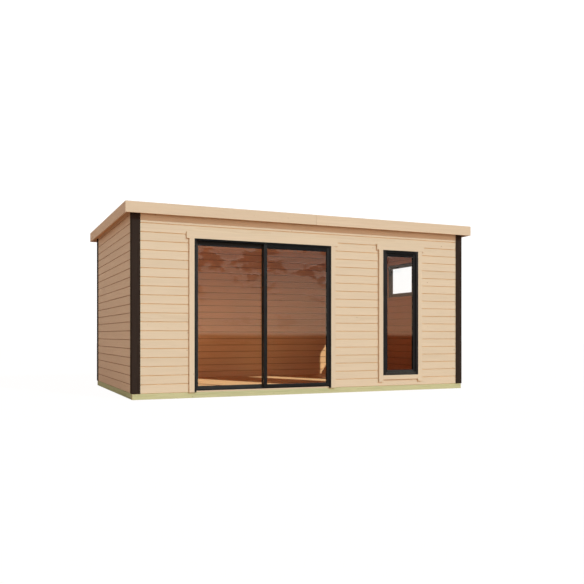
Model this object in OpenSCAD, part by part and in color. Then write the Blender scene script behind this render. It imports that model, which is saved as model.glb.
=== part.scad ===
// Garden office pod: a flat-roofed log cabin with dark corner posts, a two-leaf
// sliding glass door, a tall window beside it and a high window in the right end.
// Millimetres, +Z up, front towards -Y, origin under the middle of the roof's outline.

/* [Cabin] */
// Width over the outer log faces
cabin_w = 5040; // [4200:10:6000]
// Depth over the outer log faces
cabin_d = 2920; // [2400:10:3600]
// Height from the ground to the top of the fascia
cabin_h = 2486; // [2100:1:2700]
// Thickness of the wall logs
log_t = 44; // [34:1:70]
// Height that one log course covers
log_h = 114; // [90:1:150]
// Bevel along the logs' edges, which makes the V-shaped joints
log_bevel = 5; // [2:0.5:8]

/* [Base and floor] */
// Height of the treated base beams
base_h = 75; // [45:1:120]
// Width of the beams under the walls
beam_w = 60; // [50:1:90]
// Width of the joists between the front and back beams
joist_w = 45; // [35:1:60]
// Widest gap allowed between joists
joist_gap = 470; // [350:5:500]
// Thickness of the floor boards
floor_t = 19; // [18:1:30]
// Expansion gap round the floor
floor_gap = 5; // [2:1:10]

/* [Corner posts] */
// Side of the square corner post
post_w = 109; // [90:1:140]
// How far a post stands proud of the log faces
post_proud = 9; // [2:1:15]
// Depth of the grooves that take the log ends
post_groove = 20; // [10:1:25]

/* [Roof] */
// Overhang of the fascia in front of the front logs
overhang_front = 105; // [60:1:250]
// Overhang of the fascia beyond the end walls
overhang_side = 104; // [60:1:250]
// Overhang of the fascia behind the back logs
overhang_back = 85; // [60:1:250]
// Height of the fascia boards
fascia_h = 140; // [120:1:180]
// Thickness of the fascia boards
fascia_t = 20; // [15:1:28]
// Gap where two fascia boards meet end to end
fascia_joint = 2; // [1:0.5:5]
// How far the fascia hangs below the roof boards at the front wall
fascia_drop = 80; // [60:1:90]
// Fall of the roof from the front wall to the back wall
roof_fall = 40; // [0:5:60]
// Thickness of the roof boards
deck_t = 19; // [16:1:28]
// Thickness of the roof covering
cover_t = 4; // [2:0.5:8]
// Number of purlins
purlin_count = 3; // [2:1:4]
// Width of a purlin
purlin_w = 45; // [38:1:70]
// Height of a purlin
purlin_h = 145; // [95:1:180]
// How deep the purlin ends sit in the end walls
purlin_seat = 22; // [15:1:28]

/* [Sliding door] */
// Clear width of the door between its trims
door_w = 1988; // [1500:1:2400]
// How far right of an even spacing along the front the door stands
door_shift = -16; // [-150:1:150]
// Height of wall between the door's clear opening and the fascia
over_door = 270; // [130:1:400]
// Face width of the outer frame
frame_face = 25; // [22:1:60]
// Wall thickness of the frame's channels
frame_wall = 4; // [3:0.5:6]
// Depth of the frame's channels
frame_pocket = 15; // [12:1:20]
// Clearance round a leaf in its channel
leaf_gap = 5; // [5:0.5:8]
// Thickness of a door leaf
leaf_t = 36; // [32:1:50]
// Face width of a leaf's stiles
stile_w = 49; // [40:1:70]
// Face height of a leaf's top rail
top_rail_h = 65; // [45:1:80]
// Face height of a leaf's bottom rail
bottom_rail_h = 42; // [34:1:90]
// Thickness of the track plate
track_t = 6; // [4:1:10]
// Height of the track's running rails
rail_h = 12; // [9:1:14]
// Width of a running rail
rail_w = 6; // [4:1:8]
// Running clearance of a leaf on its rail
run_gap = 0.3; // [0.2:0.1:0.5]

/* [Windows] */
// Clear width of the tall window between its trims
tall_w = 604; // [450:1:900]
// How far right of an even spacing along the front the tall window stands
tall_shift = 19; // [-150:1:150]
// Height of the tall window's lower clear edge above ground
tall_sill = 230; // [220:1:900]
// Height of wall between the windows' clear openings and the fascia
over_window = 282; // [130:1:400]
// Clear width of the side window
side_w = 1367; // [600:1:1500]
// How far behind the middle of the end wall the side window stands
side_shift = -100; // [-300:1:300]
// Clear height of the side window
side_h = 573; // [400:1:900]
// Face width of a window frame
window_face = 42; // [36:1:70]
// Depth of a window frame
window_d = 68; // [62:1:90]
// Depth of the frame's outer lip
lip_d = 15; // [12:1:22]
// Width of the frame's outer lip over the sash
lip_w = 12; // [8:1:16]
// Gap between a sash and the frame round it
sash_gap = 3; // [2:0.5:4]
// Face width of the tall window's sash stiles
sash_face = 45; // [38:1:70]
// Face height of the tall window's upper sash rail
sash_top = 53; // [36:1:70]
// Face height of the tall window's lower sash rail
sash_foot = 38; // [36:1:70]
// Face width of the side window's sash
side_sash_face = 30; // [26:1:70]
// Thickness of a sash
sash_t = 44; // [38:1:46]

/* [Glass] */
// Thickness of the sealed glass units
glass_t = 20; // [16:1:24]
// Depth of the glazing grooves
glass_groove = 14; // [12:1:18]
// Gap between the glass edge and the groove's bottom
glass_edge_gap = 2; // [1:0.5:4]
// Clearance of a seated piece
seat_gap = 0.3; // [0.2:0.1:0.5]

/* [Trim] */
// Width of the upright trim boards
trim_w = 70; // [50:1:90]
// Height of the header boards
header_h = 86; // [70:1:120]
// Height of the sill boards under the windows
sill_h = 63; // [50:1:90]
// Thickness of the trim boards
trim_t = 24; // [12:1:30]
// How far a header reaches past the uprights
header_ear = 34; // [0:1:60]
// How far the window uprights run on below the sill board
trim_tail = 33; // [0:1:50]
// How far the door's uprights run down over the base
trim_foot = 2; // [0:1:40]

/* [Hidden] */

spruce = "#e0c39c";
treated = "#c2bd8c";
post_brown = "#382f29";
anthracite = "#2b2c2d";
pane = "#8a6a55";
felt = "#3a3b3c";

// Overshoot of a cut past the face it opens
cut = 1;

// The plain panels share the front that the door and the tall window leave, apart from the shifts
panel_w = (cabin_w - door_w - tall_w) / 3;
door_left = panel_w + door_shift;
tall_left = 2 * panel_w + door_w + tall_shift;
fascia_z = cabin_h - fascia_h;
door_top = fascia_z - over_door;
window_top = fascia_z - over_window;

// Underside of the roof boards, at a distance y behind the front log faces
roof_front_z = fascia_z + fascia_drop;
function roof_z(y) = roof_front_z - roof_fall * y / cabin_d;
deck_top = seat_gap + deck_t;
deck_x0 = fascia_t - overhang_side;
deck_x1 = cabin_w + overhang_side - fascia_t;
deck_y0 = fascia_t - overhang_front;
deck_y1 = cabin_d + overhang_back - fascia_t;

// Origin under the middle of the fascia's outline
origin_x = cabin_w / 2;
origin_y = (cabin_d + overhang_back - overhang_front) / 2;

// Log ends sit at the bottoms of the post grooves
post_in = post_w - post_proud;
log_end = post_in - post_groove;

// Door frame: its outer box, then the clear space between its faces
door_right = door_left + door_w;
door_in0 = door_left + frame_face;
door_in1 = door_right - frame_face;
door_z0 = base_h + floor_t;
head_z = door_top - frame_face;
channel = leaf_t + 2 * leaf_gap;
frame_d = 3 * frame_wall + 2 * channel;
channel_ys = [frame_wall, 2 * frame_wall + channel];

// Door leaves: the two meeting stiles stand one behind the other
outer_leaf_y = channel_ys[0] + leaf_gap;
inner_leaf_y = channel_ys[1] + leaf_gap;
leaf_engage = frame_pocket - leaf_gap;
leaf_x0 = door_in0 - leaf_engage;
leaf_x1 = door_in1 + leaf_engage;
leaf_w = (leaf_x1 - leaf_x0 + stile_w) / 2;
leaf_z0 = door_z0 + track_t + leaf_gap;
leaf_z1 = head_z + leaf_engage;
rail_top = door_z0 + track_t + rail_h;
rail_ys = [for (y = [outer_leaf_y, inner_leaf_y]) y + (leaf_t - rail_w) / 2];
track_y = rail_ys[0] - frame_wall;
runner_w = rail_w + 2 * leaf_gap;

// Windows: clear edges, the openings cut in the walls, then the space round the sash
side_sill = window_top - side_h;
side_left = (cabin_d - side_w) / 2 + side_shift;
tall_right = tall_left + tall_w;
side_right = side_left + side_w;
frame_in = window_face - lip_w;
sash_in = frame_in + sash_gap;
sash_y = lip_d + seat_gap;
groove_t = glass_t + 2 * seat_gap;
glass_grip = glass_groove - glass_edge_gap;

// A plain block between two opposite corners, given in any order
module block(a, b) {
    low = [for (i = [0:2]) min(a[i], b[i])];
    high = [for (i = [0:2]) max(a[i], b[i])];
    translate(low) cube(high - low);
}

// An outline drawn in depth and height, run along the width from x0 to x1
module run_x(x0, x1) {
    rotate([90, 0, 90]) translate([0, 0, x0]) linear_extrude(height = x1 - x0) children();
}

// An outline drawn in width and height, run along the depth from y0 to y1
module run_y(y0, y1) {
    translate([0, y1, 0]) rotate([90, 0, 0]) linear_extrude(height = y1 - y0) children();
}

// From the log faces' front left corner to the part's own frame
module cabin() {
    translate([-origin_x, -origin_y, 0]) children();
}

// Openings in the front wall and in the right wall, each drawn as seen from outside
module in_front_wall(left) {
    cabin() translate([left, 0, 0]) children();
}
module in_right_wall(left) {
    cabin() translate([cabin_w, left, 0]) rotate([0, 0, 90]) children();
}

// A frame in a wall, moved out of the log face until it is flush with the trim round it
module flush() {
    translate([0, -trim_t, 0]) children();
}

// Base and floor
module base_long_beams() {
    color(treated) cabin() for (y = [0, cabin_d - beam_w])
        block([0, y, 0], [cabin_w, y + beam_w, base_h]);
}
module base_cross_beams() {
    span = cabin_w - 2 * beam_w;
    bays = ceil((span + joist_w) / (joist_gap + joist_w));
    step = (span + joist_w) / bays;
    y0 = beam_w;
    y1 = cabin_d - beam_w;
    color(treated) cabin() {
        block([0, y0, 0], [beam_w, y1, base_h]);
        block([cabin_w - beam_w, y0, 0], [cabin_w, y1, base_h]);
        for (i = [1:bays - 1]) let (x = beam_w - joist_w + i * step)
            block([x, y0, 0], [x + joist_w, y1, base_h]);
    }
}
module floor_boards() {
    edge = log_t + floor_gap;
    notch = post_in + floor_gap;
    top = base_h + floor_t;
    color(spruce) cabin() difference() {
        block([edge, edge, base_h], [cabin_w - edge, cabin_d - edge, top]);
        for (x = [0, cabin_w], y = [0, cabin_d])
            block([x - notch, y - notch, base_h - cut], [x + notch, y + notch, top + cut]);
    }
}

// Logs laid in courses from z0 up to the heights of the outer and inner faces, with V-joints
// on both faces and a bevel along the foot of the outer face, where water drips off. The outer
// face is at 0 and the inner face at the log's thickness.
function course_joints(z0, z1) =
    [for (z = [base_h + log_h:log_h:z1 - log_bevel - cut]) if (z > z0 + 2 * log_bevel + cut) z];
module log_outline(z0, outer_top, inner_top) {
    up = course_joints(z0, outer_top);
    down = course_joints(z0, inner_top);
    outer = [for (z = up) each [[0, z - log_bevel], [log_bevel, z], [0, z + log_bevel]]];
    inner = [for (i = [len(down) - 1:-1:0]) let (z = down[i])
        each [[log_t, z + log_bevel], [log_t - log_bevel, z], [log_t, z - log_bevel]]];
    foot = [[log_bevel, z0], [0, z0 + log_bevel]];
    head = [[0, outer_top], [log_t, inner_top]];
    polygon(concat(foot, outer, head, inner, [[log_t, z0]]));
}

// Walls: log courses between the posts, parted beside, over and under the openings
module front_panel(x0, x1, z0) {
    color(spruce) cabin() run_x(x0, x1) log_outline(z0, roof_z(0), roof_z(log_t));
}
module front_wall_left() {
    front_panel(log_end, door_left, base_h);
}
module front_wall_middle() {
    front_panel(door_right, tall_left, base_h);
}
module front_wall_right() {
    front_panel(tall_right, cabin_w - log_end, base_h);
}
module front_wall_over_door() {
    front_panel(door_left, door_right, door_top);
}
module front_wall_over_window() {
    front_panel(tall_left, tall_right, window_top);
}
module front_wall_under_window() {
    color(spruce) cabin() run_x(tall_left, tall_right) log_outline(base_h, tall_sill, tall_sill);
}
module back_wall() {
    color(spruce) cabin() run_x(log_end, cabin_w - log_end) translate([cabin_d, 0]) mirror([1, 0])
        log_outline(base_h, roof_z(cabin_d), roof_z(cabin_d - log_t));
}

// End walls: cut to the roof's fall, with pockets for the purlin ends
module above_roof() {
    top = roof_front_z + cut;
    run_x(-cut, cabin_w + cut)
        polygon([[0, roof_z(0)], [cabin_d, roof_z(cabin_d)], [cabin_d, top], [0, top]]);
}
module end_panel(y0, y1, z0) {
    difference() {
        run_y(y0, y1) log_outline(z0, roof_front_z, roof_front_z);
        above_roof();
        purlin_runs(cut);
    }
}
module in_right_end() {
    translate([cabin_w, 0, 0]) mirror([1, 0, 0]) children();
}
module left_wall() {
    color(spruce) cabin() end_panel(log_end, cabin_d - log_end, base_h);
}
module right_wall_beside_window() {
    color(spruce) cabin() in_right_end() {
        end_panel(log_end, side_left, base_h);
        end_panel(side_right, cabin_d - log_end, base_h);
    }
}
module right_wall_over_and_under_window() {
    color(spruce) cabin() in_right_end() {
        end_panel(side_left, side_right, window_top);
        run_y(side_left, side_right) log_outline(base_h, side_sill, side_sill);
    }
}

// Corner posts, each grooved for the ends of its two walls
module corner_post(corner, sx, sy) {
    near = [corner.x - sx * post_proud, corner.y - sy * post_proud];
    far = [corner.x + sx * post_in, corner.y + sy * post_in];
    low = [min(near.x, far.x), min(near.y, far.y)];
    difference() {
        run_x(low.x, low.x + post_w) polygon([
            [low.y, base_h],
            [low.y + post_w, base_h],
            [low.y + post_w, roof_z(low.y + post_w)],
            [low.y, roof_z(low.y)]
        ]);
        block([corner.x + sx * log_end, corner.y, base_h - cut],
              [far.x + sx * cut, corner.y + sy * log_t, cabin_h]);
        block([corner.x, corner.y + sy * log_end, base_h - cut],
              [corner.x + sx * log_t, far.y + sy * cut, cabin_h]);
    }
}
module front_corner_posts() {
    color(post_brown) cabin() {
        corner_post([0, 0], 1, 1);
        corner_post([cabin_w, 0], -1, 1);
    }
}
module back_corner_posts() {
    color(post_brown) cabin() {
        corner_post([0, cabin_d], 1, -1);
        corner_post([cabin_w, cabin_d], -1, -1);
    }
}

// Roof: purlins from end wall to end wall, boards over them, covering, fascia all round
module purlin_runs(extra) {
    for (i = [1:purlin_count]) let (
        y0 = cabin_d * i / (purlin_count + 1) - purlin_w / 2,
        y1 = y0 + purlin_w,
        z0 = roof_z(y1) - purlin_h
    )
        run_x(log_t - purlin_seat, cabin_w - log_t + purlin_seat)
            polygon([[y0, z0], [y1, z0], [y1, roof_z(y1) + extra], [y0, roof_z(y0) + extra]]);
}
module roof_purlins() {
    color(spruce) cabin() purlin_runs(0);
}
module roof_sheet(low, high) {
    run_x(deck_x0, deck_x1) polygon([
        [deck_y0, roof_z(deck_y0) + low],
        [deck_y1, roof_z(deck_y1) + low],
        [deck_y1, roof_z(deck_y1) + high],
        [deck_y0, roof_z(deck_y0) + high]
    ]);
}
module roof_boards() {
    color(spruce) cabin() roof_sheet(seat_gap, deck_top);
}
module roof_covering() {
    color(felt) cabin() roof_sheet(deck_top, deck_top + cover_t);
}
module long_fascia(y) {
    middle = cabin_w / 2;
    color(spruce) cabin() {
        block([-overhang_side, y, fascia_z], [middle - fascia_joint / 2, y + fascia_t, cabin_h]);
        block([middle + fascia_joint / 2, y, fascia_z], [cabin_w + overhang_side, y + fascia_t, cabin_h]);
    }
}
module fascia_front() {
    long_fascia(-overhang_front);
}
module fascia_back() {
    long_fascia(deck_y1);
}
module fascia_sides() {
    color(spruce) cabin() for (x = [-overhang_side, deck_x1])
        block([x, deck_y0, fascia_z], [x + fascia_t, deck_y1, cabin_h]);
}

// Sliding door frame: two channels side by side in the jambs and the head, two rails on the track
module channels(depth) {
    for (y = channel_ys) translate([-cut, y]) square([depth + cut, channel]);
}
module jamb_outline() {
    difference() {
        translate([-frame_face, 0]) square([frame_face, frame_d]);
        mirror([1, 0]) channels(frame_pocket);
    }
}
module door_jamb() {
    translate([0, 0, door_z0]) linear_extrude(height = door_top - door_z0) jamb_outline();
    block([-frame_face, 0, base_h], [0, trim_t + log_t, door_z0]);
}
module door_frame_jambs() {
    color(anthracite) cabin() flush() {
        translate([door_in0, 0, 0]) door_jamb();
        translate([door_in1, 0, 0]) mirror([1, 0, 0]) door_jamb();
    }
}
module door_frame_head() {
    color(anthracite) cabin() flush() run_x(door_in0, door_in1) translate([0, head_z]) difference() {
        square([frame_d, frame_face]);
        for (y = channel_ys) translate([y, -cut]) square([channel, frame_pocket + cut]);
    }
}
module door_frame_track() {
    color(anthracite) cabin() flush() run_x(door_in0, door_in1) translate([0, door_z0]) {
        translate([track_y, 0]) square([frame_d - track_y, track_t]);
        for (y = rail_ys) translate([y, 0]) square([rail_w, track_t + rail_h]);
    }
}
module door_threshold() {
    color(spruce) cabin() block([door_in0, 0, base_h], [door_in1, log_t, door_z0]);
}

// A stile or rail with a glazing groove along its inner edge
module glazed_outline(face, thick) {
    difference() {
        square([face, thick]);
        translate([face - glass_groove, (thick - groove_t) / 2]) square([glass_groove + cut, groove_t]);
    }
}
module glazed_stiles(x0, x1, z0, z1, face, thick) {
    translate([x0, 0, z0]) linear_extrude(height = z1 - z0) glazed_outline(face, thick);
    translate([x1, 0, z0]) mirror([1, 0, 0]) linear_extrude(height = z1 - z0) glazed_outline(face, thick);
}
module glazed_rails(x0, x1, z0, z1, low, high, thick) {
    run_x(x0, x1) translate([0, z0]) mirror([1, -1]) glazed_outline(low, thick);
    run_x(x0, x1) translate([0, z1]) mirror([0, 1]) mirror([1, -1]) glazed_outline(high, thick);
}
module glass_unit(x0, x1, z0, z1, thick) {
    y0 = (thick - glass_t) / 2;
    block([x0 - glass_grip, y0, z0 - glass_grip], [x1 + glass_grip, y0 + glass_t, z1 + glass_grip]);
}

// Door leaves: each runs on its rail in a groove along its lower edge
module runner() {
    block([-cut, (leaf_t - runner_w) / 2, leaf_z0 - cut],
          [leaf_w + cut, (leaf_t + runner_w) / 2, rail_top + run_gap]);
}
module leaf_stiles() {
    difference() {
        glazed_stiles(0, leaf_w, leaf_z0, leaf_z1, stile_w, leaf_t);
        runner();
    }
}
module leaf_rails() {
    difference() {
        glazed_rails(stile_w, leaf_w - stile_w, leaf_z0, leaf_z1, bottom_rail_h, top_rail_h, leaf_t);
        runner();
    }
}
module leaf_glass() {
    glass_unit(stile_w, leaf_w - stile_w, leaf_z0 + bottom_rail_h, leaf_z1 - top_rail_h, leaf_t);
}
module at_left_leaf() {
    cabin() flush() translate([leaf_x0, inner_leaf_y, 0]) children();
}
module at_right_leaf() {
    cabin() flush() translate([leaf_x1 - leaf_w, outer_leaf_y, 0]) children();
}
module left_leaf_stiles() {
    color(anthracite) at_left_leaf() leaf_stiles();
}
module left_leaf_rails() {
    color(anthracite) at_left_leaf() leaf_rails();
}
module left_leaf_glass() {
    color(pane) at_left_leaf() leaf_glass();
}
module right_leaf_stiles() {
    color(anthracite) at_right_leaf() leaf_stiles();
}
module right_leaf_rails() {
    color(anthracite) at_right_leaf() leaf_rails();
}
module right_leaf_glass() {
    color(pane) at_right_leaf() leaf_glass();
}

// Windows: a lipped frame, a sash seated behind the lip and a glass unit in the sash
module window_jamb(z0, z1) {
    translate([0, 0, z0]) linear_extrude(height = z1 - z0) polygon([
        [0, 0], [window_face, 0], [window_face, lip_d],
        [frame_in, lip_d], [frame_in, window_d], [0, window_d]
    ]);
}
module window_jambs(w, z0, z1) {
    window_jamb(z0, z1);
    translate([w, 0, 0]) mirror([1, 0, 0]) window_jamb(z0, z1);
}
module window_rail(w) {
    block([window_face, 0, 0], [w - window_face, lip_d, window_face]);
    block([frame_in, lip_d, 0], [w - frame_in, window_d, frame_in]);
}
module window_rails(w, z0, z1) {
    translate([0, 0, z0]) window_rail(w);
    translate([0, 0, z1]) mirror([0, 0, 1]) window_rail(w);
}
module sash_stiles(w, z0, z1, face) {
    translate([0, sash_y, 0])
        glazed_stiles(sash_in, w - sash_in, z0 + sash_in, z1 - sash_in, face, sash_t);
}
module sash_rails(w, z0, z1, face, low, high) {
    x0 = sash_in + face;
    translate([0, sash_y, 0])
        glazed_rails(x0, w - x0, z0 + sash_in, z1 - sash_in, low, high, sash_t);
}
module sash_glass(w, z0, z1, face, low, high) {
    x0 = sash_in + face;
    translate([0, sash_y, 0])
        glass_unit(x0, w - x0, z0 + sash_in + low, z1 - sash_in - high, sash_t);
}
module tall_window_frame_jambs() {
    color(anthracite) in_front_wall(tall_left) flush() window_jambs(tall_w, tall_sill, window_top);
}
module tall_window_frame_rails() {
    color(anthracite) in_front_wall(tall_left) flush() window_rails(tall_w, tall_sill, window_top);
}
module tall_window_sash_stiles() {
    color(anthracite) in_front_wall(tall_left) flush()
        sash_stiles(tall_w, tall_sill, window_top, sash_face);
}
module tall_window_sash_rails() {
    color(anthracite) in_front_wall(tall_left) flush()
        sash_rails(tall_w, tall_sill, window_top, sash_face, sash_foot, sash_top);
}
module tall_window_glass() {
    color(pane) in_front_wall(tall_left) flush()
        sash_glass(tall_w, tall_sill, window_top, sash_face, sash_foot, sash_top);
}
module side_window_frame_jambs() {
    color(anthracite) in_right_wall(side_left) flush() window_jambs(side_w, side_sill, window_top);
}
module side_window_frame_rails() {
    color(anthracite) in_right_wall(side_left) flush() window_rails(side_w, side_sill, window_top);
}
module side_window_sash_stiles() {
    color(anthracite) in_right_wall(side_left) flush()
        sash_stiles(side_w, side_sill, window_top, side_sash_face);
}
module side_window_sash_rails() {
    color(anthracite) in_right_wall(side_left) flush()
        sash_rails(side_w, side_sill, window_top, side_sash_face, side_sash_face, side_sash_face);
}
module side_window_glass() {
    color(pane) in_right_wall(side_left) flush()
        sash_glass(side_w, side_sill, window_top, side_sash_face, side_sash_face, side_sash_face);
}

// Trim boards on the log faces, butted against the frames
module trim_uprights(w, z0, z1) {
    block([-trim_w, -trim_t, z0], [0, 0, z1]);
    block([w, -trim_t, z0], [w + trim_w, 0, z1]);
}
module trim_header(w, z) {
    ear = trim_w + header_ear;
    block([-ear, -trim_t, z], [w + ear, 0, z + header_h]);
}
module trim_sill(w, z) {
    block([0, -trim_t, z - sill_h], [w, 0, z]);
}
module front_trim_uprights() {
    color(spruce) {
        in_front_wall(door_left) trim_uprights(door_w, base_h - trim_foot, door_top);
        in_front_wall(tall_left) trim_uprights(tall_w, tall_sill - sill_h - trim_tail, window_top);
    }
}
module front_trim_headers_and_sill() {
    color(spruce) {
        in_front_wall(door_left) trim_header(door_w, door_top);
        in_front_wall(tall_left) trim_header(tall_w, window_top);
        in_front_wall(tall_left) trim_sill(tall_w, tall_sill);
    }
}
module side_trim_uprights() {
    color(spruce) in_right_wall(side_left)
        trim_uprights(side_w, side_sill - sill_h - trim_tail, window_top);
}
module side_trim_header_and_sill() {
    color(spruce) in_right_wall(side_left) {
        trim_header(side_w, window_top);
        trim_sill(side_w, side_sill);
    }
}

base_long_beams();
base_cross_beams();
floor_boards();
front_wall_left();
front_wall_middle();
front_wall_right();
front_wall_over_door();
front_wall_over_window();
front_wall_under_window();
left_wall();
back_wall();
right_wall_beside_window();
right_wall_over_and_under_window();
front_corner_posts();
back_corner_posts();
roof_purlins();
roof_boards();
roof_covering();
fascia_front();
fascia_back();
fascia_sides();
door_threshold();
door_frame_jambs();
door_frame_head();
door_frame_track();
left_leaf_stiles();
left_leaf_rails();
left_leaf_glass();
right_leaf_stiles();
right_leaf_rails();
right_leaf_glass();
tall_window_frame_jambs();
tall_window_frame_rails();
tall_window_sash_stiles();
tall_window_sash_rails();
tall_window_glass();
side_window_frame_jambs();
side_window_frame_rails();
side_window_sash_stiles();
side_window_sash_rails();
side_window_glass();
front_trim_uprights();
front_trim_headers_and_sill();
side_trim_uprights();
side_trim_header_and_sill();
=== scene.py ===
import math
import random

import bmesh
import bpy
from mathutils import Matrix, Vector


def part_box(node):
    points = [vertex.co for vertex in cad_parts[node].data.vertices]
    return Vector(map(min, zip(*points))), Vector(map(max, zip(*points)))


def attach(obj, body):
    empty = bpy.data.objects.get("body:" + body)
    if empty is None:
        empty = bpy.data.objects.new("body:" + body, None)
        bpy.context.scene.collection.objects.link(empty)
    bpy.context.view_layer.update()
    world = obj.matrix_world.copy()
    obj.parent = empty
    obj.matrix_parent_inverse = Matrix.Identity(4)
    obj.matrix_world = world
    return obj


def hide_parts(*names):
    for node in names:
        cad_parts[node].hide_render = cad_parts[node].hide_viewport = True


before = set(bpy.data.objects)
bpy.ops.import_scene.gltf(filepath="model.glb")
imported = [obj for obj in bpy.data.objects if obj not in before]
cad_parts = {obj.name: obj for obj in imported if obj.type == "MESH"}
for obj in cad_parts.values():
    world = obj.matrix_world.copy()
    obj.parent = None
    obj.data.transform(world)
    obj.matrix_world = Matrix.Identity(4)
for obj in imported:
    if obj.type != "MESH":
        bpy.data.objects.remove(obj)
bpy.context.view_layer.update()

# Base beams
# A ladder of sawn, pressure-treated pine laid on the ground: two long beams with cross beams
# between them, nailed through the long ones. The salts leave the timber a dull yellow-green.


def joined_solids(node):
    """A node's solids as one mesh to work on, with the corners that faces share joined."""
    shape = bmesh.new()
    shape.from_mesh(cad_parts[node].data)
    same_spot = 1e-5
    bmesh.ops.remove_doubles(shape, verts=shape.verts, dist=same_spot)
    return shape


def eased_solids(node, ease):
    """A node's solids with clean faces, and every outer edge taken off by a small round."""
    shape = joined_solids(node)
    flat = math.radians(0.5)
    bmesh.ops.dissolve_limit(shape, angle_limit=flat, verts=shape.verts, edges=shape.edges)
    sharp = math.radians(30)
    arrises = [e for e in shape.edges if e.is_manifold and e.is_convex and e.calc_face_angle() > sharp]
    bmesh.ops.bevel(shape, geom=arrises, offset=ease, segments=2, profile=0.5,
                    affect="EDGES", clamp_overlap=True)
    return shape


def separate_solids(shape):
    """The vertices of a mesh sorted into its separate solids, left to right, front to back."""
    found = []
    seen = set()
    for start in shape.verts:
        if start in seen:
            continue
        seen.add(start)
        group = [start]
        for vert in group:
            for edge in vert.link_edges:
                other = edge.other_vert(vert)
                if other not in seen:
                    seen.add(other)
                    group.append(other)
        found.append(group)
    return sorted(found, key=lambda group: [round(min(v.co[i] for v in group), 4) for i in range(3)])


def mark_grain(shape, group, run, centre, shift, tone):
    """Tells a board's vertices where they lie in the trunk: along the axis run, and from the pith
    along the two axes that follow it."""
    grain = shape.verts.layers.float_vector["grain"]
    shade = shape.verts.layers.float["tone"]
    for vert in group:
        spot = vert.co
        vert[grain] = (spot[run] + shift, spot[run - 2] - centre[0], spot[run - 1] - centre[1])
        vert[shade] = tone


def hold_grain(shape):
    """Makes room in a mesh for the grain and tone of its boards, before they are marked."""
    shape.verts.layers.float_vector.new("grain")
    shape.verts.layers.float.new("tone")
    return shape


trunk_reach = 40
pith_off = 0.05


def eased_timber(node, run, ease, rng):
    """The boards of a node, each with its own place in a trunk."""
    shape = hold_grain(eased_solids(node, ease))
    for group in separate_solids(shape):
        middle = sum((v.co for v in group), Vector()) / len(group)
        centre = [middle[axis] + rng.uniform(-pith_off, pith_off) for axis in (run - 2, run - 1)]
        mark_grain(shape, group, run, centre, rng.uniform(0, trunk_reach), rng.uniform(-1, 1))
    return shape


def finished(name, shape, finish, body, nodes):
    """The piece itself: mesh, material, the body that it rides on, and any nodes that it stands for."""
    mesh = bpy.data.meshes.new(name)
    shape.normal_update()
    shape.to_mesh(mesh)
    shape.free()
    mesh.materials.append(finish)
    piece = bpy.data.objects.new(name, mesh)
    bpy.context.scene.collection.objects.link(piece)
    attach(piece, body)
    if nodes:
        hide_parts(*nodes)
    return piece


def put(tree, kind, settings, inputs):
    """Adds a shader node. An input that is a socket is linked, and any other is set."""
    made = tree.nodes.new(kind)
    for key, value in settings.items():
        setattr(made, key, value)
    for key, value in inputs.items():
        if isinstance(value, bpy.types.NodeSocket):
            tree.links.new(value, made.inputs[key])
        else:
            made.inputs[key].default_value = value
    return made


def reckon(tree, operation, a, b, clamp=False):
    """The result of a sum on two sockets or numbers."""
    settings = {"operation": operation, "use_clamp": clamp}
    return put(tree, "ShaderNodeMath", settings, {0: a, 1: b}).outputs[0]


def ease_in(tree, value, low, high, to_low=0.0, to_high=1.0):
    """A smooth step from one number to another, as the value goes from low to high."""
    inputs = {0: value, 1: low, 2: high, 3: to_low, 4: to_high}
    return put(tree, "ShaderNodeMapRange", {"interpolation_type": "SMOOTHSTEP"}, inputs).outputs[0]


def mix_colours(tree, share, a, b):
    """A colour between two sockets or colours, nearer to the second as the share grows."""
    mixed = put(tree, "ShaderNodeMix", {"data_type": "RGBA"}, {"Factor": share})
    for socket, value in zip([s for s in mixed.inputs if s.type == "RGBA"], (a, b)):
        if isinstance(value, bpy.types.NodeSocket):
            tree.links.new(value, socket)
        else:
            socket.default_value = (*value, 1.0)
    return next(s for s in mixed.outputs if s.type == "RGBA")


def noise(tree, place, scale, detail, roughness=0.5):
    """Even random variation over a surface."""
    inputs = {"Vector": place, "Scale": scale, "Detail": detail, "Roughness": roughness}
    return put(tree, "ShaderNodeTexNoise", {}, inputs).outputs["Fac"]


def new_finish(name):
    """A new material, with its node tree and the shader in it."""
    finish = bpy.data.materials.new(name)
    finish.use_nodes = True
    tree = finish.node_tree
    return finish, tree, tree.nodes["Principled BSDF"]


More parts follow.
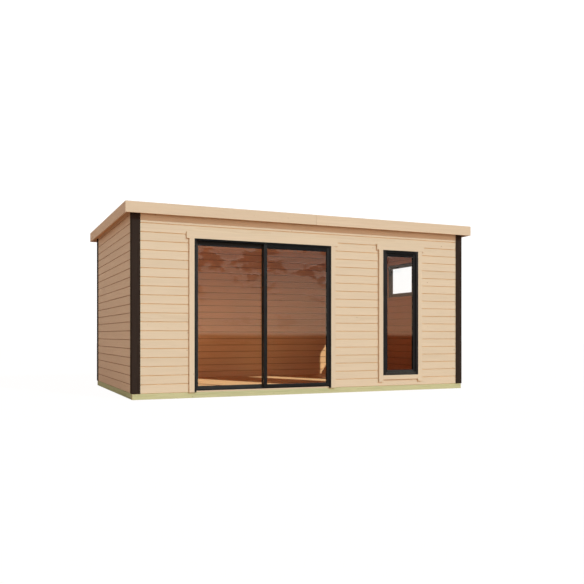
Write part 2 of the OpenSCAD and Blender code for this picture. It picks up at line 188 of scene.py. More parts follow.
def softwood(name, early, late, knot, rings_seen, tone_range, knots_seen, roughness, relief, shine=0.3):
    """Softwood in its trunk's own coordinates: growth rings, fibres, tone of each board, small knots."""
    rings_per_metre = 150
    ring_sway = 0.05
    knots_per_metre = 8.0
    grain_depth = 0.0006
    fibres_to_rings = 0.5
    ring_relief = 0.6
    gloss_swing = 0.06
    finish, tree, shader = new_finish(name)
    grain = put(tree, "ShaderNodeAttribute", {"attribute_name": "grain"}, {}).outputs["Vector"]
    tone = put(tree, "ShaderNodeAttribute", {"attribute_name": "tone"}, {}).outputs["Fac"]

    def scaled_grain(factors):
        settings = {"operation": "MULTIPLY"}
        return put(tree, "ShaderNodeVectorMath", settings, {0: grain, 1: factors}).outputs[0]

    def streaks(factors, detail):
        return noise(tree, scaled_grain(factors), 1.0, detail, 0.6)

    from_pith = put(tree, "ShaderNodeVectorMath", {"operation": "LENGTH"}, {0: scaled_grain((0, 1, 1))})
    sway = reckon(tree, "MULTIPLY", streaks((0.9, 7, 7), 2), ring_sway)
    swayed = reckon(tree, "ADD", from_pith.outputs["Value"], sway)
    ring_place = reckon(tree, "MULTIPLY", swayed, rings_per_metre)
    ring_inputs = {"W": ring_place, "Scale": 1.0, "Detail": 2.0}
    rings = put(tree, "ShaderNodeTexNoise", {"noise_dimensions": "1D"}, ring_inputs).outputs["Fac"]
    fibres = streaks((5, 320, 320), 3)
    broad = streaks((1.3, 10, 10), 2)

    ring_share = reckon(tree, "MULTIPLY", ease_in(tree, rings, 0.38, 0.72), rings_seen)
    fibres_seen = rings_seen * fibres_to_rings
    fibre_share = reckon(tree, "MULTIPLY", ease_in(tree, fibres, 0.42, 0.75), fibres_seen)
    colour = mix_colours(tree, reckon(tree, "ADD", ring_share, fibre_share, True), early, late)

    cells = put(tree, "ShaderNodeTexVoronoi", {}, {"Vector": grain, "Scale": knots_per_metre})
    picked = put(tree, "ShaderNodeSeparateColor", {}, {0: cells.outputs["Color"]}).outputs[0]
    core = ease_in(tree, cells.outputs["Distance"], 0.035, 0.085, 1.0, 0.0)
    knots = reckon(tree, "MULTIPLY", core, ease_in(tree, picked, 0.50, 0.55, 0.0, knots_seen))
    colour = mix_colours(tree, knots, colour, knot)

    drift = ease_in(tree, broad, 0.25, 0.75, 1 - tone_range, 1 + tone_range)
    level = reckon(tree, "ADD", reckon(tree, "MULTIPLY", tone, tone_range), drift)
    toned = put(tree, "ShaderNodeVectorMath", {"operation": "SCALE"}, {0: colour, "Scale": level})
    tree.links.new(toned.outputs[0], shader.inputs["Base Color"])
    gloss = ease_in(tree, fibres, 0.3, 0.8, roughness - gloss_swing, roughness + gloss_swing)
    tree.links.new(gloss, shader.inputs["Roughness"])
    height = reckon(tree, "ADD", reckon(tree, "MULTIPLY", rings, ring_relief), fibres)
    bump_inputs = {"Strength": relief, "Distance": grain_depth, "Height": height}
    bump = put(tree, "ShaderNodeBump", {}, bump_inputs)
    tree.links.new(bump.outputs[0], shader.inputs["Normal"])
    shader.inputs["Specular IOR Level"].default_value = shine
    return finish


treated_pine = softwood("treated_pine", early=(0.64, 0.60, 0.325), late=(0.50, 0.485, 0.23),
                        knot=(0.30, 0.26, 0.12), rings_seen=0.55, tone_range=0.04,
                        knots_seen=0.6, roughness=0.78, relief=0.5)
# A greener copy of the treated pine for the cross beams: painted cooler shade, chosen for the left end
# beam, which stands out of the sun.
shade_tinted_pine = softwood("shade_tinted_pine", early=(0.535, 0.61, 0.33), late=(0.415, 0.49, 0.235),
                        knot=(0.26, 0.27, 0.12), rings_seen=0.55, tone_range=0.04,
                        knots_seen=0.6, roughness=0.78, relief=0.5)
x_axis, y_axis, z_axis = 0, 1, 2
sawn_arris = 0.002
base_rng = random.Random(11)
for node, run, pine in (("base_long_beams", x_axis, treated_pine),
                        ("base_cross_beams", y_axis, shade_tinted_pine)):
    beams = eased_timber(node, run, sawn_arris, base_rng)
    finished(node + "_sawn", beams, pine, "cabin", [node])

# Floor boards
# Planed spruce boards with a tongue and groove, laid along the cabin across the joists and nailed
# down. Each row has one butt joint, in three places by turns, and the outer rows are notched
# round the posts.


def section(p, q, eases):
    """Outline of a board in its two cross axes, each corner cut off by its own ease."""
    corners = [(p[0], q[0], 0, 1), (p[1], q[0], -1, 0), (p[1], q[1], 0, -1), (p[0], q[1], 1, 0)]
    points = []
    for (x, y, back_x, back_y), ease in zip(corners, eases):
        points.append((x + back_x * ease, y + back_y * ease))
        if ease:
            points.append((x + back_y * ease, y - back_x * ease))
    return points


def add_board(shape, run, ends, outlines, centre, shift, tone):
    """One board along the axis run, from the outline at its first end to that at its second."""
    loops = []
    for place, outline in zip(ends, outlines):
        loop = []
        for p, q in outline:
            spot = Vector()
            spot[run], spot[run - 2], spot[run - 1] = place, p, q
            loop.append(shape.verts.new(spot))
        loops.append(loop)
    near, far = loops
    shape.faces.new(near[::-1])
    shape.faces.new(far)
    for i in range(len(near)):
        shape.faces.new((near[i - 1], near[i], far[i], far[i - 1]))
    mark_grain(shape, near + far, run, centre, shift, tone)


planed_spruce = softwood("planed_spruce", early=(0.79, 0.625, 0.425), late=(0.68, 0.50, 0.30),
                         knot=(0.40, 0.21, 0.09), rings_seen=0.30, tone_range=0.02,
                         knots_seen=0.7, roughness=0.62, relief=0.25)
# Oiled spruce for the room's side, the floor, the purlins and the roof boards: more orange than planed,
# partly the oil and partly painted warm bounce light.
oiled_warm_bounce_spruce = softwood("oiled_warm_bounce_spruce", early=(0.835, 0.49, 0.25), late=(0.715, 0.37, 0.155),
                        knot=(0.36, 0.17, 0.07), rings_seen=0.35, tone_range=0.03,
                        knots_seen=0.55, roughness=0.5, relief=0.25)
floor_low, floor_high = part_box("floor_boards")
floor_board_w = 0.113
floor_arris = 0.0015
floor_pith_across = 0.06
floor_pith_below = (0.02, 0.09)
post_clearance = 0.005
butt_gap = 0.001
joint_places = (0.36, 0.64, 0.5)
post_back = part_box("front_corner_posts")[1].y + post_clearance
post_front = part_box("back_corner_posts")[0].y - post_clearance
notch = post_back - floor_low.y
rows = round((floor_high.y - floor_low.y) / floor_board_w)
row_w = (floor_high.y - floor_low.y) / rows
floor_rng = random.Random(23)
floor_shape = hold_grain(bmesh.new())
for row in range(rows):
    row_y = (floor_low.y + row * row_w, floor_low.y + (row + 1) * row_w)
    joint = floor_low.x + (floor_high.x - floor_low.x) * joint_places[row % len(joint_places)]
    strips = [(row_y, 0.0, floor_arris, floor_arris)]
    if row == 0:
        strips = [((row_y[0], post_back), notch, floor_arris, 0),
                  ((post_back, row_y[1]), 0.0, 0, floor_arris)]
    if row == rows - 1:
        strips = [((row_y[0], post_front), 0.0, floor_arris, 0),
                  ((post_front, row_y[1]), notch, 0, floor_arris)]
    for left, right in ((floor_low.x, joint - butt_gap / 2), (joint + butt_gap / 2, floor_high.x)):
        pith_y = sum(row_y) / 2 + floor_rng.uniform(-floor_pith_across, floor_pith_across)
        pith_z = floor_low.z - floor_rng.uniform(*floor_pith_below)
        shift = floor_rng.uniform(0, trunk_reach)
        tone = floor_rng.uniform(-1, 1)
        for strip, inset, front_ease, back_ease in strips:
            start = left + inset if left == floor_low.x else left
            stop = right - inset if right == floor_high.x else right
            outline = section(strip, (floor_low.z, floor_high.z), (0, 0, back_ease, front_ease))
            add_board(floor_shape, x_axis, (start, stop), (outline, outline), (pith_y, pith_z), shift, tone)
finished("floor_boards_laid", floor_shape, oiled_warm_bounce_spruce, "cabin", ["floor_boards"])

# Corner posts
# Four square posts of planed spruce under a dark brown opaque stain. Grooves in their inner faces
# take the ends of the wall logs, and they stand on the corners of the base.

brown_stain = softwood("brown_stain", early=(0.042, 0.028, 0.021), late=(0.027, 0.017, 0.012),
                       knot=(0.016, 0.010, 0.008), rings_seen=0.6, tone_range=0.06,
                       knots_seen=0.3, roughness=0.68, relief=0.35, shine=0.02)
post_arris = 0.004
post_rng = random.Random(37)
for node in ("front_corner_posts", "back_corner_posts"):
    posts = eased_timber(node, z_axis, post_arris, post_rng)
    finished(node + "_stained", posts, brown_stain, "cabin", [node])

# Log walls
# Planed spruce logs stacked course on course, with a V along every joint inside and out. They slot
# into the corner posts, run through over the openings, and are cut where a frame stands in them.
# The room's side is oiled, and its orange holds painted warm bounce light as well. The joints on
# both sides are painted darker and more orange, as shade in the grooves, and the right wall's inner
# face is painted darker still, as shade.

# The faces of the V and gap at each joint: painted shade, darker and more orange, for the shade in the
# grooves.
joint_shade_spruce = softwood("joint_shade_spruce", early=(0.85, 0.565, 0.285), late=(0.73, 0.45, 0.205),
                        knot=(0.36, 0.17, 0.07), rings_seen=0.30, tone_range=0.02,
                        knots_seen=0.4, roughness=0.7, relief=0.25)
# Painted deeper shade in the outer joints of the left wall, which is out of the sun.
deep_joint_shade_spruce = softwood("deep_joint_shade_spruce", early=(0.55, 0.345, 0.20), late=(0.45, 0.26, 0.14),
                      knot=(0.30, 0.13, 0.05), rings_seen=0.30, tone_range=0.02,
                      knots_seen=0.4, roughness=0.7, relief=0.25)
# Painted shade in the joints on the room's side.
oiled_joint_shade = softwood("oiled_joint_shade", early=(0.44, 0.205, 0.085), late=(0.35, 0.15, 0.055),
                       knot=(0.30, 0.13, 0.05), rings_seen=0.30, tone_range=0.02,
                       knots_seen=0.4, roughness=0.6, relief=0.25)
# Painted shade on the right wall's inner face: the oiled spruce made darker.
painted_shade_oiled = softwood("painted_shade_oiled_warm_bounce_spruce", early=(0.62, 0.29, 0.15), late=(0.52, 0.21, 0.09),
                      knot=(0.30, 0.13, 0.05), rings_seen=0.35, tone_range=0.03,
                      knots_seen=0.55, roughness=0.5, relief=0.25)
log_rise = 0.114
vee = 0.005
gap_half = 0.0009
gap_depth = 0.013
log_pith_rise = 0.03
wall_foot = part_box("base_long_beams")[1].z
roof_board_t = 0.019
deck_low, deck_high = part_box("roof_boards")
roof_fall = (deck_high.z - roof_board_t - deck_low.z) / (deck_high.y - deck_low.y)


def roof_underside(y):
    """Height of the roof boards' lower face, which falls to the back."""
    return deck_low.z + (deck_high.y - y) * roof_fall


def log_outline(run, faces, z, foot, head):
    """Section of a log: a V, then a fine shadow gap, at those long edges that meet another log."""
    low_z, high_z = z
    cut_edge = [(0, vee), (vee, gap_half), (gap_depth, gap_half), (gap_depth, 0)]
    whole_edge = [(0, 0)]
    foot_edge = cut_edge if foot else whole_edge
    head_edge = cut_edge if head else whole_edge
    outline = [(faces[0] + d, low_z + up) for d, up in foot_edge]
    outline += [(faces[1] - d, low_z + up) for d, up in reversed(foot_edge)]
    outline += [(faces[1] - d, high_z - up) for d, up in head_edge]
    outline += [(faces[0] + d, high_z - up) for d, up in reversed(head_edge)]
    return outline if run == x_axis else [(up, d) for d, up in reversed(outline)]


def finish_sides(wall, run, faces, inside, outer_joint_shade):
    """Gives a wall's inner face its own finish, and the joints on both sides a finish of painted shade."""
    facing_out = 0.9
    facing_along = 0.5
    for finish in (inside, outer_joint_shade, oiled_joint_shade):
        wall.data.materials.append(finish)
    outer_face, inner_face, outer_gap, inner_gap = range(4)
    inner, outer = (faces[1], faces[0]) if abs(faces[0]) > abs(faces[1]) else faces
    for face in wall.data.polygons:
        depth = face.center[1 - run]
        near_inside = abs(depth - inner) < abs(depth - outer)
        if abs(face.normal[1 - run]) > facing_out:
            face.material_index = inner_face if near_inside else outer_face
        elif abs(face.normal[run]) < facing_along:
            face.material_index = inner_gap if near_inside else outer_gap


def log_wall(name, run, faces, nodes, openings, inside, outer_joint_shade, rng):
    """Courses of logs along the axis run, between the two wall faces, cut round the openings."""
    boxes = [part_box(node) for node in nodes]
    start = min(low[run] for low, high in boxes)
    stop = max(high[run] for low, high in boxes)
    shape = hold_grain(bmesh.new())
    if run == x_axis:
        tops = [roof_underside(faces[1])] * 2
    else:
        tops = [roof_underside(start), roof_underside(stop)]
    course = 0
    while wall_foot + course * log_rise < max(tops):
        bottom = wall_foot + course * log_rise
        top = bottom + log_rise
        last = top > max(tops)
        height = [min(top, t) for t in tops]
        sills = [level for across, upright in openings for level in upright]
        crossed = [level for level in sills if bottom + vee < level < min(height) - vee]
        levels = sorted({bottom, *crossed}) + [top]
        middle = (bottom + top) / 2 + rng.uniform(-log_pith_rise, log_pith_rise)
        depth = sum(faces) / 2 + rng.uniform(-pith_off, pith_off)
        centre = (depth, middle) if run == x_axis else (middle, depth)
        shift = rng.uniform(0, trunk_reach)
        tone = rng.uniform(-1, 1)
        for low_z, high_z in zip(levels, levels[1:]):
            lengths = [(start, stop)]
            for (cut_from, cut_to), (cut_low, cut_high) in openings:
                if cut_low - vee < (low_z + high_z) / 2 < cut_high + vee:
                    near, far = lengths.pop()
                    lengths += [(near, cut_from), (cut_to, far)]
            foot = low_z == bottom
            head = high_z == top and not last
            outlines = [log_outline(run, faces, (low_z, min(high_z, t)), foot, head) for t in height]
            for ends in lengths:
                add_board(shape, run, ends, outlines, centre, shift, tone)
        course += 1
    wall = finished(name, shape, planed_spruce, "cabin", nodes)
    finish_sides(wall, run, faces, inside, outer_joint_shade)


def cut_for(node, run):
    """The opening that a frame needs in a wall: along it, and from foot to head."""
    low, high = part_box(node)
    return (low[run], high[run]), (low.z, high.z)


front_nodes = ["front_wall_left", "front_wall_middle", "front_wall_right", "front_wall_over_door",
               "front_wall_over_window", "front_wall_under_window"]
right_nodes = ["right_wall_beside_window", "right_wall_over_and_under_window"]
log_rng = random.Random(41)
front_cuts = ("door_frame_jambs", "tall_window_frame_jambs")
right_cuts = ("side_window_frame_jambs",)
for name, run, nodes, cuts, inside, outer_joint_shade in (
        ("front_wall_logs", x_axis, front_nodes, front_cuts, oiled_warm_bounce_spruce, joint_shade_spruce),
        ("back_wall_logs", x_axis, ["back_wall"], (), oiled_warm_bounce_spruce, joint_shade_spruce),
        ("left_wall_logs", y_axis, ["left_wall"], (), oiled_warm_bounce_spruce, deep_joint_shade_spruce),
        ("right_wall_logs", y_axis, right_nodes, right_cuts, painted_shade_oiled, joint_shade_spruce)):
    wall_low, wall_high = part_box(nodes[0])
    wall_faces = (wall_low[1 - run], wall_high[1 - run])
    openings = [cut_for(node, run) for node in cuts]
    log_wall(name, run, wall_faces, nodes, openings, inside, outer_joint_shade, log_rng)

# Roof purlins and roof boards
# Three planed purlins carry the roof from end wall to end wall. Tongued boards with a fine V below
# are nailed across them from front to back, following the fall of the roof.

purlin_arris = 0.003
roof_rng = random.Random(53)
purlins = eased_timber("roof_purlins", x_axis, purlin_arris, roof_rng)
finished("roof_purlins_planed", purlins, oiled_warm_bounce_spruce, "cabin", ["roof_purlins"])
roof_board_w = 0.19
roof_vee = 0.003
roof_pith_up = (0.02, 0.08)
roof_pith_across = 0.08
board_count = round((deck_high.x - deck_low.x) / roof_board_w)
board_step = (deck_high.x - deck_low.x) / board_count
roof_shape = hold_grain(bmesh.new())
for board in range(board_count):
    board_x = (deck_low.x + board * board_step, deck_low.x + (board + 1) * board_step)
    outlines = []
    for y in (deck_low.y, deck_high.y):
        z = (roof_underside(y), roof_underside(y) + roof_board_t)
        outlines.append(section(z, board_x, (roof_vee, 0, 0, roof_vee)))
    pith_z = deck_low.z + roof_rng.uniform(*roof_pith_up)
    pith_x = sum(board_x) / 2 + roof_rng.uniform(-roof_pith_across, roof_pith_across)
    shift = roof_rng.uniform(0, trunk_reach)
    tone = roof_rng.uniform(-1, 1)
    add_board(roof_shape, y_axis, (deck_low.y, deck_high.y), outlines, (pith_z, pith_x), shift, tone)
finished("roof_boards_nailed", roof_shape, oiled_warm_bounce_spruce, "cabin", ["roof_boards"])

# Roof covering
# Three widths of dark sheet laid along the roof from the low side up, each lapping over the one
# below, and turned up over a fillet against the inside of the fascia all round.

sheet_t = 0.004
lap = 0.09
lap_rise_run = 0.015
fillet = 0.045
upstand_below_top = 0.012
sheet_count = 3
upstand_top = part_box("fascia_front")[1].z - upstand_below_top
sheet_shape = hold_grain(bmesh.new())


def deck_top(y):
    """Height of the roof boards' upper face."""
    return roof_underside(y) + roof_board_t


def add_strip(ends, run, outlines):
    """A length of sheet, which has no grain."""
    add_board(sheet_shape, run, ends, outlines, (0, 0), 0, 0)


def upstand_steps(foot, fall):
    """Section of the turned-up edge over its fillet: how far in from the fascia, and how high."""
    rise = min(fillet, upstand_top - foot)
    return [(0, foot), (rise, foot - rise * fall), (sheet_t, foot + rise - sheet_t),
            (sheet_t, upstand_top), (0, upstand_top)]


sheet_w = (deck_high.y - deck_low.y) / sheet_count
for sheet in range(sheet_count):
    high_edge = deck_low.y + sheet * sheet_w
    low_edge = high_edge + sheet_w
    last = sheet == sheet_count - 1
    places = [(high_edge, 0), (low_edge, 0)]
    if not last:
        places = [(high_edge, 0), (low_edge - lap_rise_run, 0),
                  (low_edge, sheet_t), (low_edge + lap, sheet_t)]
    under = [(y, deck_top(y) + rise) for y, rise in places]
    over = [(y, z + sheet_t) for y, z in reversed(under)]
    outline = under + over
    add_strip((deck_low.x, deck_high.x), x_axis, (outline, outline))

for edge_y, inward in ((deck_low.y, 1), (deck_high.y, -1)):
    steps = upstand_steps(deck_top(edge_y) + sheet_t, roof_fall * inward)
    outline = [(edge_y + inward * out, z) for out, z in steps]
    outline = outline if inward > 0 else outline[::-1]
    add_strip((deck_low.x, deck_high.x), x_axis, (outline, outline))
for edge_x, inward in ((deck_low.x, 1), (deck_high.x, -1)):
    outlines = []
    for y in (deck_low.y, deck_high.y):
        steps = upstand_steps(deck_top(y) + sheet_t, 0)
        outline = [(z, edge_x + inward * out) for out, z in steps]
        outlines.append(outline[::-1] if inward > 0 else outline)
    add_strip((deck_low.y, deck_high.y), y_axis, outlines)


def object_place(tree):
    """The place of a point on its piece."""
    return put(tree, "ShaderNodeTexCoord", {}, {}).outputs["Object"]


roof_sheet, sheet_tree, sheet_shader = new_finish("roof_sheet")
sheet_place = object_place(sheet_tree)
grit = noise(sheet_tree, sheet_place, 900.0, 2.0)
stain = noise(sheet_tree, sheet_place, 2.2, 4.0)
grit_colour = mix_colours(sheet_tree, ease_in(sheet_tree, grit, 0.35, 0.7),
                          (0.030, 0.031, 0.033), (0.075, 0.077, 0.080))
sheet_colour = mix_colours(sheet_tree, ease_in(sheet_tree, stain, 0.4, 0.7, 0.0, 0.35),
                           grit_colour, (0.105, 0.103, 0.098))
sheet_tree.links.new(sheet_colour, sheet_shader.inputs["Base Color"])
sheet_rough = ease_in(sheet_tree, stain, 0.3, 0.7, 0.78, 0.92)
sheet_tree.links.new(sheet_rough, sheet_shader.inputs["Roughness"])
grit_inputs = {"Strength": 0.5, "Distance": 0.001, "Height": grit}
grit_bump = put(sheet_tree, "ShaderNodeBump", {}, grit_inputs)
sheet_tree.links.new(grit_bump.outputs[0], sheet_shader.inputs["Normal"])
finished("roof_covering_sheets", sheet_shape, roof_sheet, "cabin", ["roof_covering"])

# Fascia
# Planed spruce boards on edge round the roof. The front and back are two boards long with a butt
# joint at the middle, and they cover the ends of the side boards, which follow behind them.

fascia_spruce = softwood("fascia_spruce", early=(0.765, 0.585, 0.39), late=(0.655, 0.465, 0.275),
                         knot=(0.38, 0.20, 0.09), rings_seen=0.30, tone_range=0.02,
                         knots_seen=0.25, roughness=0.62, relief=0.25)
fascia_arris = 0.001
fascia_rng = random.Random(67)
for node, run in (("fascia_front", x_axis), ("fascia_back", x_axis), ("fascia_sides", y_axis)):
    boards = eased_timber(node, run, fascia_arris, fascia_rng)
    finished(node + "_boards", boards, fascia_spruce, "cabin", [node])

# Door threshold and door frame
# A spruce board closes the gap under the door, between the feet of a frame of dark powder-coated
# aluminium: jambs and head with two channels that guide the leaves, and a track of two rails.
# The head has the darkest coat: painted shade, for the shade of the trim over it.

threshold_rng = random.Random(71)
threshold = eased_timber("door_threshold", x_axis, fascia_arris, threshold_rng)
finished("door_threshold_board", threshold, fascia_spruce, "cabin", ["door_threshold"])


def powder_coat(name, deep, worn, shine):
    """Satin powder coat: a faint cloudiness between two shades, and the fine peel of baked powder."""
    coat, tree, shader = new_finish(name)
    place = object_place(tree)
    peel = noise(tree, place, 700.0, 2.0)
    wear = noise(tree, place, 9.0, 3.0)
    colour = mix_colours(tree, ease_in(tree, wear, 0.35, 0.7), deep, worn)
    tree.links.new(colour, shader.inputs["Base Color"])
    tree.links.new(ease_in(tree, wear, 0.3, 0.7, 0.34, 0.42), shader.inputs["Roughness"])
    bump = put(tree, "ShaderNodeBump", {}, {"Strength": 0.15, "Distance": 0.0002, "Height": peel})
    tree.links.new(bump.outputs[0], shader.inputs["Normal"])
    shader.inputs["Specular IOR Level"].default_value = shine
    return coat


def paint_shade_on_upper_bars(piece, coat):
    """Gives the upper one of two cross bars a coat of its own: a darker coat as painted shade."""
    piece.data.materials.append(coat)
    heights = [vert.co.z for vert in piece.data.vertices]
    middle = (min(heights) + max(heights)) / 2
    for face in piece.data.polygons:
        face.material_index = int(face.center.z > middle)


dark_coat = powder_coat("dark_coat", (0.0120, 0.0109, 0.0102), (0.0155, 0.0142, 0.0133), 0.2)
# The darkest copy of the coat is painted shade, for bars that stand in shade.
painted_shade_coat = powder_coat("painted_shade_coat", (0.0040, 0.0036, 0.0034), (0.0055, 0.0050, 0.0047), 0.12)
profile_round = 0.001
for node, coat in (("door_frame_jambs", dark_coat), ("door_frame_head", painted_shade_coat),
                   ("door_frame_track", dark_coat)):
    profile = eased_solids(node, profile_round)
    finished(node + "_profile", profile, coat, "cabin", [node])

# Sliding door leaves
# Two leaves of slim dark aluminium, each a glazed frame of stiles and rails that runs on its own
# rail. A wedge of black rubber holds the sealed glass unit in its groove, inside and out. The left
# leaf has a paler coat, and each top rail a darker coat than the rest of its leaf: painted shade from the
# head.

rubber, rubber_tree, rubber_shader = new_finish("rubber")
bloom = noise(rubber_tree, object_place(rubber_tree), 60.0, 3.0)
rubber_colour = mix_colours(rubber_tree, bloom, (0.006, 0.006, 0.006), (0.013, 0.013, 0.013))
rubber_tree.links.new(rubber_colour, rubber_shader.inputs["Base Color"])
rubber_rough = ease_in(rubber_tree, bloom, 0.3, 0.7, 0.55, 0.7)
rubber_tree.links.new(rubber_rough, rubber_shader.inputs["Roughness"])


def mix_shaders(tree, share, a, b):
    """Two shaders mixed on a surface or a sky, more of the second as the share grows."""
    mixed = put(tree, "ShaderNodeMixShader", {}, {0: share, 1: a.outputs[0], 2: b.outputs[0]})
    return mixed.outputs[0]


both_panes_ior = 1.7
clear_glass, glass_tree, plain_shader = new_finish("clear_glass")
glass_tree.nodes.remove(plain_shader)
ripple = noise(glass_tree, object_place(glass_tree), 1.4, 1.0)
roll_inputs = {"Strength": 0.05, "Distance": 0.01, "Height": ripple}
roll_bump = put(glass_tree, "ShaderNodeBump", {}, roll_inputs).outputs[0]
seen_through = put(glass_tree, "ShaderNodeBsdfTransparent", {}, {"Color": (0.996, 0.998, 0.996, 1.0)})
mirrored = put(glass_tree, "ShaderNodeBsdfAnisotropic", {}, {"Roughness": 0.0, "Normal": roll_bump})
from_within = put(glass_tree, "ShaderNodeNewGeometry", {}, {}).outputs["Backfacing"]
from_outside = reckon(glass_tree, "SUBTRACT", 1.0, from_within)
bounce = put(glass_tree, "ShaderNodeFresnel", {}, {"IOR": both_panes_ior}).outputs[0]
outer_bounce = reckon(glass_tree, "MULTIPLY", bounce, from_outside)
pane = mix_shaders(glass_tree, outer_bounce, seen_through, mirrored)
glass_tree.links.new(pane, glass_tree.nodes["Material Output"].inputs["Surface"])


def add_wedge(shape, normal, sight_low, sight_high, glass_face, outward):
    """A mitred ring of wedge gasket round one face of a glass unit, inside its sight size."""
    across = 1 - normal
    wedge_h, wedge_foot, wedge_head = 0.004, 0.0025, 0.001
    loops = []
    for inset, out in ((0, 0), (wedge_foot, 0), (wedge_head, wedge_h), (0, wedge_h)):
        loop = []
        for right, up in ((0, 0), (1, 0), (1, 1), (0, 1)):
            spot = Vector()
            spot[normal] = glass_face + outward * out
            spot[across] = (sight_high[across] - inset) if right else (sight_low[across] + inset)
            spot.z = (sight_high.z - inset) if up else (sight_low.z + inset)
            loop.append(shape.verts.new(spot))
        loops.append(loop)
    for i in range(len(loops)):
        for k in range(4):
            shape.faces.new((loops[i - 1][k - 1], loops[i - 1][k], loops[i][k], loops[i][k - 1]))


def solid_spans(node, axis):
    """Where each solid of a node starts and stops along an axis, in order."""
    shape = joined_solids(node)
    spans = []
    for group in separate_solids(shape):
        places = [v.co[axis] for v in group]
        spans.append((min(places), max(places)))
    shape.free()
    return sorted(spans)


def glazing(prefix, body, normal, stiles, rails, glass):
    """The glass unit of a leaf or sash, and the gaskets that hold it on both faces."""
    unit_edge = 0.001
    unit = eased_solids(glass, unit_edge)
    finished(prefix + "_glass_unit", unit, clear_glass, body, [glass])
    across = 1 - normal
    sides = solid_spans(stiles, across)
    bars = solid_spans(rails, z_axis)
    glass_low, glass_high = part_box(glass)
    sight_low = glass_low.copy()
    sight_high = glass_high.copy()
    sight_low[across], sight_high[across] = sides[0][1], sides[-1][0]
    sight_low.z, sight_high.z = bars[0][1], bars[-1][0]
    gaskets = bmesh.new()
    add_wedge(gaskets, normal, sight_low, sight_high, glass_low[normal], -1)
    add_wedge(gaskets, normal, sight_low, sight_high, glass_high[normal], 1)
    bmesh.ops.recalc_face_normals(gaskets, faces=gaskets.faces)
    finished(prefix + "_gaskets", gaskets, rubber, body, [])


# A paler copy of the coat, for the left leaf and the lower bars.
paler_coat = powder_coat("paler_coat", (0.037, 0.034, 0.029), (0.045, 0.041, 0.035), 0.2)
# Each top rail takes a darker coat than its leaf: painted shade from the head.
for leaf, coat, shade_top_coat in (("left_leaf", paler_coat, dark_coat), ("right_leaf", dark_coat, painted_shade_coat)):
    for part in ("stiles", "rails"):
        node = leaf + "_" + part
        profile = eased_solids(node, profile_round)
        coated = finished(node + "_profile", profile, coat, leaf, [node])
        if part == "rails":
            paint_shade_on_upper_bars(coated, shade_top_coat)
    glazing(leaf, leaf, y_axis, leaf + "_stiles", leaf + "_rails", leaf + "_glass")

# Windows
# A tall window in the front and a wide one high in the right wall, in the same dark aluminium: an
# outer frame with a lip over the sash, the sash inside it, and sealed glass on rubber wedges. The
# lower bars have a paler coat, and the upper ones the darkest coat: painted shade, for the shade they stand
# in.

for window, normal in (("tall_window", y_axis), ("side_window", x_axis)):
    for part in ("frame_jambs", "frame_rails", "sash_stiles", "sash_rails"):
        node = window + "_" + part
        coat = paler_coat if part.endswith("rails") else dark_coat
        profile = eased_solids(node, profile_round)
        coated = finished(node + "_profile", profile, coat, "cabin", [node])
        # The upper bars take the darkest coat: painted shade.
        if part.endswith("rails"):
            paint_shade_on_upper_bars(coated, painted_shade_coat)
    glazing(window, "cabin", normal, window + "_sash_stiles", window + "_sash_rails", window + "_glass")

# Trim round the openings
# Planed spruce boards nailed to the logs round each frame: uprights at the sides, a header with
# ears that stand out past them, and under a window a sill board between the uprights.

trim_arris = 0.002
trim_rng = random.Random(83)
for node, run in (("front_trim_uprights", z_axis), ("front_trim_headers_and_sill", x_axis),
                  ("side_trim_uprights", z_axis), ("side_trim_header_and_sill", y_axis)):
    trims = eased_timber(node, run, trim_arris, trim_rng)
    finished(node + "_boards", trims, planed_spruce, "cabin", [node])

# Studio
# A pale floor and an even white surround, and a soft sky whose clouds are seen only in reflections.
# One sun from the front right draws the shadow of the roof edge on the wall, and two more along with
# it reach only the room. The camera stands low and looks level.

scene = bpy.context.scene
scene.view_settings.view_transform = "Standard"

floor_reach = 60.0
ground_mesh = bpy.data.meshes.new("studio_floor")
ground_corners = [(-floor_reach, -floor_reach, 0), (floor_reach, -floor_reach, 0),
                  (floor_reach, floor_reach, 0), (-floor_reach, floor_reach, 0)]
ground_mesh.from_pydata(ground_corners, [], [(0, 1, 2, 3)])
ground = bpy.data.objects.new("studio_floor", ground_mesh)
scene.collection.objects.link(ground)
ground.visible_glossy = False
paper_white = 1.08
shadow_seen = 0.10
paper, paper_tree, plain_shader = new_finish("pale_paper")
paper_tree.nodes.remove(plain_shader)
matt = put(paper_tree, "ShaderNodeBsdfDiffuse", {}, {"Color": (0.80, 0.53, 0.38, 1.0)})
lit = put(paper_tree, "ShaderNodeEmission", {}, {"Color": (1, 1, 1, 1), "Strength": paper_white})
paper_path = put(paper_tree, "ShaderNodeLightPath", {}, {}).outputs
paper_seen = reckon(paper_tree, "MAXIMUM", paper_path["Is Camera Ray"], paper_path["Is Transmission Ray"])
white_share = reckon(paper_tree, "MULTIPLY", paper_seen, 1 - shadow_seen)
paper_face = mix_shaders(paper_tree, white_share, matt, lit)
paper_tree.links.new(paper_face, paper_tree.nodes["Material Output"].inputs["Surface"])
ground_mesh.materials.append(paper)

sky = bpy.data.worlds.new("studio_sky")
scene.world = sky
sky.use_nodes = True
sky_tree = sky.node_tree
sky_path = put(sky_tree, "ShaderNodeLightPath", {}, {}).outputs
sky_place = put(sky_tree, "ShaderNodeTexCoord", {}, {}).outputs["Generated"]
sky_axes = put(sky_tree, "ShaderNodeSeparateXYZ", {}, {0: sky_place}).outputs
sky_up = sky_axes[z_axis]
to_front = ease_in(sky_tree, sky_axes[y_axis], -0.95, -0.45, 1.0, 0.0)
low_down = ease_in(sky_tree, sky_up, 0.10, 0.55, 1.0, 0.0)
front_share = reckon(sky_tree, "MULTIPLY", to_front, low_down)
sky_colour = mix_colours(sky_tree, front_share, (0.445, 0.388, 0.392), (1.60, 1.28, 1.10))
soft_light = sky_tree.nodes["Background"]
soft_light.inputs["Strength"].default_value = 1.0
sky_tree.links.new(sky_colour, soft_light.inputs["Color"])
sunward = ease_in(sky_tree, sky_axes[x_axis], 0.42, 0.54)


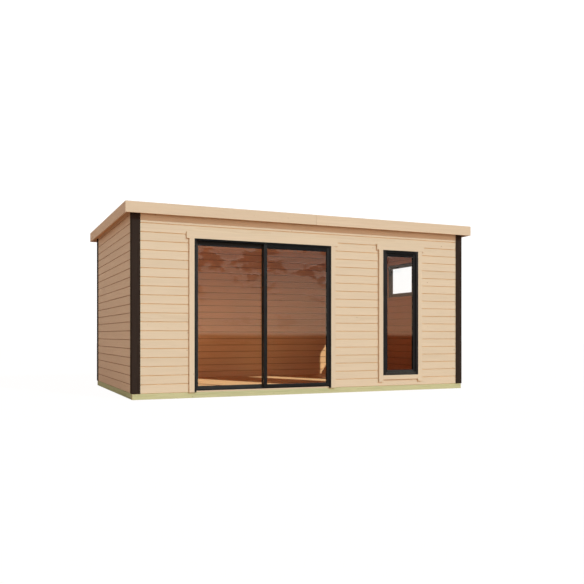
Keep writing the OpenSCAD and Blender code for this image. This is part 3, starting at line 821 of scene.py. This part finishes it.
def cloud_cover(lift):
    """Banks of cloud edged with round puffs, fewer near the horizon and the sun.
    They are looked up a little above each direction, by the lift."""
    puff_depth = 0.16
    sun_clearing = 0.12
    shifting = {"operation": "ADD"}
    raised = put(sky_tree, "ShaderNodeVectorMath", shifting, {0: sky_place, 1: (0, 0, lift)}).outputs[0]
    flattening = {"operation": "MULTIPLY"}
    flat = put(sky_tree, "ShaderNodeVectorMath", flattening, {0: raised, 1: (1, 1, 1.8)}).outputs[0]
    banks = noise(sky_tree, flat, 24.0, 5.0, 0.6)
    puffs = put(sky_tree, "ShaderNodeTexVoronoi", {}, {"Vector": flat, "Scale": 105.0}).outputs["Distance"]
    heaps = reckon(sky_tree, "SUBTRACT", banks, reckon(sky_tree, "MULTIPLY", puffs, puff_depth))
    heaps = reckon(sky_tree, "ADD", heaps, ease_in(sky_tree, sky_up, 0.02, 0.12, 0.0, 0.10))
    heaps = reckon(sky_tree, "SUBTRACT", heaps, reckon(sky_tree, "MULTIPLY", sunward, sun_clearing))
    return ease_in(sky_tree, heaps, 0.49, 0.51)


rim_width = 0.0022
rim_light = 0.9
sky_white = 1.12
inside_cloud = cloud_cover(0.0)
rim = reckon(sky_tree, "SUBTRACT", inside_cloud, cloud_cover(rim_width), True)
rim_share = reckon(sky_tree, "MULTIPLY", rim, rim_light)
horizon = mix_colours(sky_tree, sunward, (1.56, 1.30, 0.98), (1.78, 1.16, 0.74))
haze = mix_colours(sky_tree, ease_in(sky_tree, sky_up, 0.0, 0.14), horizon, (0.78, 0.77, 0.72))
dark_cloud = mix_colours(sky_tree, ease_in(sky_tree, sky_up, 0.02, 0.09),
                         (1.15, 0.94, 0.72), (0.26, 0.25, 0.25))
clouded = mix_colours(sky_tree, inside_cloud, haze, dark_cloud)
rimmed = mix_colours(sky_tree, rim_share, clouded, (1.7, 1.45, 1.25))
above_ground = ease_in(sky_tree, sky_up, -0.003, 0.003)
mirrored_sky = mix_colours(sky_tree, above_ground, (0.02, 0.02, 0.02), rimmed)
shown_sky = mix_colours(sky_tree, sky_path["Is Glossy Ray"], (1, 1, 1), mirrored_sky)
shown = put(sky_tree, "ShaderNodeBackground", {}, {"Color": shown_sky, "Strength": sky_white})
sky_seen = reckon(sky_tree, "MAXIMUM", sky_path["Is Camera Ray"], sky_path["Is Glossy Ray"])
sky_seen = reckon(sky_tree, "MAXIMUM", sky_seen, sky_path["Is Transmission Ray"])
whole_sky = mix_shaders(sky_tree, sky_seen, soft_light, shown)
sky_tree.links.new(whole_sky, sky_tree.nodes["World Output"].inputs["Surface"])

sun_lamp = bpy.data.lights.new("sun", "SUN")
sun_lamp.energy = 1.65
sun_lamp.color = (0.74, 1.06, 1.25)
sun_lamp.angle = math.radians(0.6)
sun = bpy.data.objects.new("sun", sun_lamp)
scene.collection.objects.link(sun)
sun_travel = Vector((-0.362, 0.756, -0.545))
sun.rotation_euler = sun_travel.to_track_quat("-Z", "Y").to_euler()

for lamp_name, energy, colour, lit_pieces in (
        ("sun_on_the_floor", 4.2, (0.90, 0.94, 0.80), ("floor_boards_laid",)),
        ("sun_on_the_inner_walls", 2.5, (1.06, 0.94, 0.66), ("back_wall_logs", "left_wall_logs"))):
    room_lamp = bpy.data.lights.new(lamp_name, "SUN")
    room_lamp.energy = energy
    room_lamp.color = colour
    room_lamp.angle = sun_lamp.angle
    room_sun = bpy.data.objects.new(lamp_name, room_lamp)
    room_sun.rotation_euler = sun.rotation_euler
    scene.collection.objects.link(room_sun)
    lit_faces = bpy.data.collections.new(lamp_name)
    for name in lit_pieces:
        lit_faces.objects.link(bpy.data.objects[name])
    room_sun.light_linking.receiver_collection = lit_faces

camera_data = bpy.data.cameras.new("camera")
camera_data.sensor_width = 36.0
camera_data.lens = 43.456
camera_data.shift_y = 0.0737
camera_data.clip_end = 200.0
camera = bpy.data.objects.new("camera", camera_data)
camera.location = (-4.2449, -10.3673, 0.8189)
camera_turn = 23.716
camera.rotation_euler = (math.radians(90), 0, -math.radians(camera_turn))
scene.collection.objects.link(camera)
scene.camera = camera
